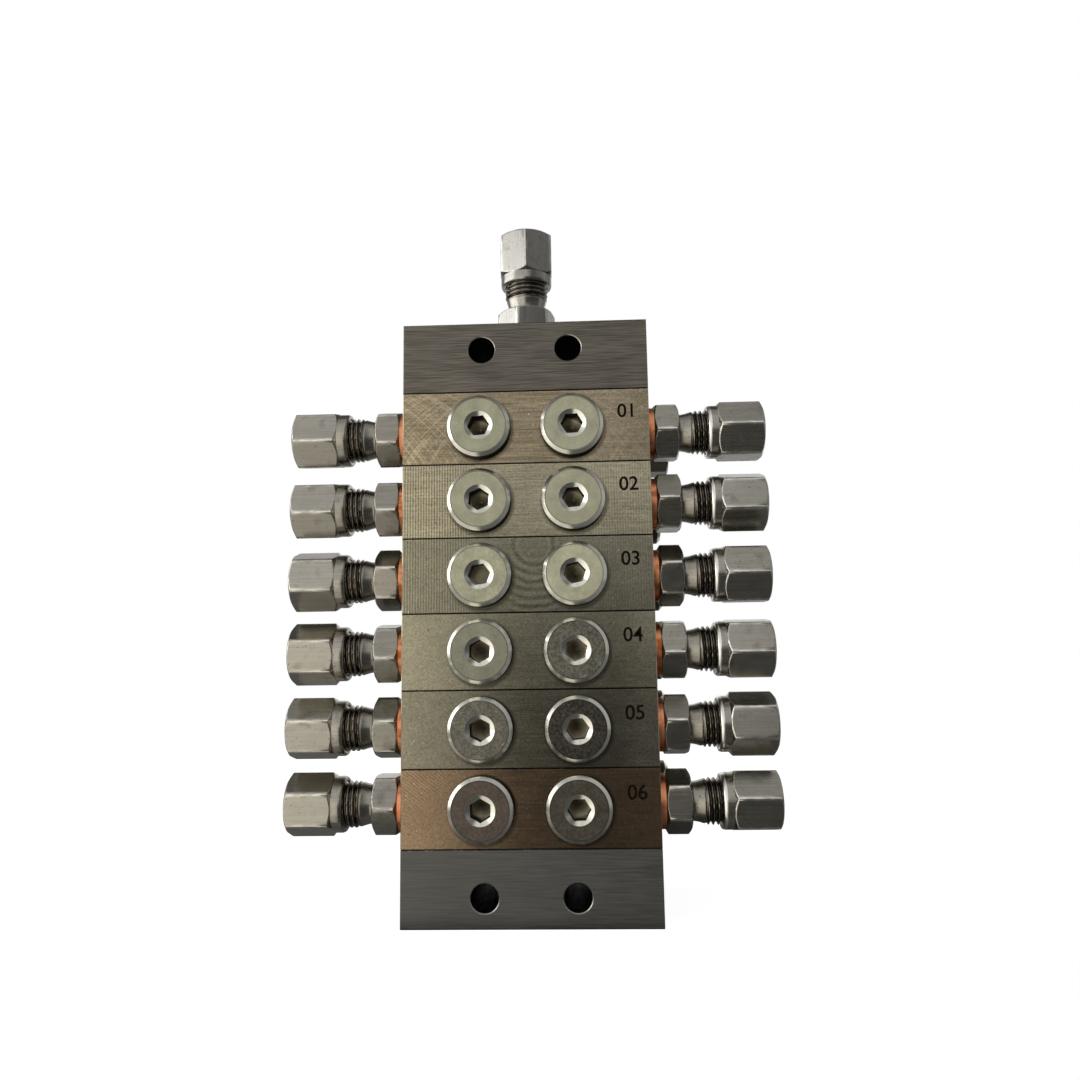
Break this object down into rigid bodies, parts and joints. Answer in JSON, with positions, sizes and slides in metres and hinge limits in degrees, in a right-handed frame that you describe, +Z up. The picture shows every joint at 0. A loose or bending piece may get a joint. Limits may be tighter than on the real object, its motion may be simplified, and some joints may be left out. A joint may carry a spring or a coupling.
{
  "type": "lubricant divider block",
  "caption": "Stacked progressive lubricant divider: sandwiched steel sections with sliding metering pistons, flange plugs on the front, compression fittings on both sides and a top inlet.",
  "frame": {"origin": "on the mounting face at the back, in the middle of the four mounting holes", "axes": "+X across the block to the right as seen from the front, +Y out of the mounting face, +Z up along the stack to the inlet"},
  "size_m": [0.1488, 0.0546, 0.2179],
  "materials": {
    "valve_block_steel": "ground and milled, lightly oiled",
    "end_block_steel": "brushed, dark oxide",
    "piston_steel": "lapped",
    "plug_zinc": "zinc plated",
    "fitting_steel": "drawn bar, oiled, glossy flats",
    "copper": "bare copper",
    "rod_steel": "zinc plated",
    "seal_rubber": "matt"
  },
  "bodies": {
    "block": {"inlet_section": "end_block_steel", "valve_section_1": "valve_block_steel", "valve_section_2": "valve_block_steel", "valve_section_3": "valve_block_steel", "valve_section_4": "valve_block_steel", "valve_section_5": "valve_block_steel", "valve_section_6": "valve_block_steel", "end_section": "end_block_steel", "front_plugs_1": "plug_zinc", "front_plugs_2": "plug_zinc", "front_plugs_3": "plug_zinc", "front_plugs_4": "plug_zinc", "front_plugs_5": "plug_zinc", "front_plugs_6": "plug_zinc", "piston_plugs_left": "plug_zinc", "piston_plugs_right": "plug_zinc", "hex_piston_plug": "plug_zinc", "piston_plug_washers": "plug_zinc", "outlet_connector_left_1": "fitting_steel", "outlet_connector_left_2": "fitting_steel", "outlet_connector_left_3": "fitting_steel", "outlet_connector_left_4": "fitting_steel", "outlet_connector_left_5": "fitting_steel", "outlet_connector_left_6": "fitting_steel", "outlet_connector_right_1": "fitting_steel", "outlet_connector_right_2": "fitting_steel", "outlet_connector_right_3": "fitting_steel", "outlet_connector_right_4": "fitting_steel", "outlet_connector_right_5": "fitting_steel", "outlet_connector_right_6": "fitting_steel", "inlet_connector": "fitting_steel", "outlet_nut_left_1": "fitting_steel", "outlet_nut_left_2": "fitting_steel", "outlet_nut_left_3": "fitting_steel", "outlet_nut_left_4": "fitting_steel", "outlet_nut_left_5": "fitting_steel", "outlet_nut_left_6": "fitting_steel", "outlet_nut_right_1": "fitting_steel", "outlet_nut_right_2": "fitting_steel", "outlet_nut_right_3": "fitting_steel", "outlet_nut_right_4": "fitting_steel", "outlet_nut_right_5": "fitting_steel", "outlet_nut_right_6": "fitting_steel", "inlet_nut": "fitting_steel", "inlet_washer": "copper", "outlet_washers_left": "copper", "outlet_washers_right": "copper", "cutting_rings": "fitting_steel", "section_seals": "seal_rubber", "front_plug_seals": "seal_rubber", "tie_rods": "rod_steel", "tie_rod_nuts": "rod_steel"},
    "piston_1_body": {"piston_1": "piston_steel"},
    "piston_2_body": {"piston_2": "piston_steel"},
    "piston_3_body": {"piston_3": "piston_steel"},
    "piston_4_body": {"piston_4": "piston_steel"},
    "piston_5_body": {"piston_5": "piston_steel"},
    "piston_6_body": {"piston_6": "piston_steel"}
  },
  "joints": [
    {"name": "piston_1_slide", "type": "slide", "parent": "block", "child": "piston_1_body", "axis": [1, 0, 0], "range_m": [0, 0.0033]},
    {"name": "piston_2_slide", "type": "slide", "parent": "block", "child": "piston_2_body", "axis": [1, 0, 0], "range_m": [0, 0.0033]},
    {"name": "piston_3_slide", "type": "slide", "parent": "block", "child": "piston_3_body", "axis": [1, 0, 0], "range_m": [0, 0.0033]},
    {"name": "piston_4_slide", "type": "slide", "parent": "block", "child": "piston_4_body", "axis": [1, 0, 0], "range_m": [0, 0.0033]},
    {"name": "piston_5_slide", "type": "slide", "parent": "block", "child": "piston_5_body", "axis": [1, 0, 0], "range_m": [0, 0.0033]},
    {"name": "piston_6_slide", "type": "slide", "parent": "block", "child": "piston_6_body", "axis": [1, 0, 0], "range_m": [0, 0.0033]}
  ]
}
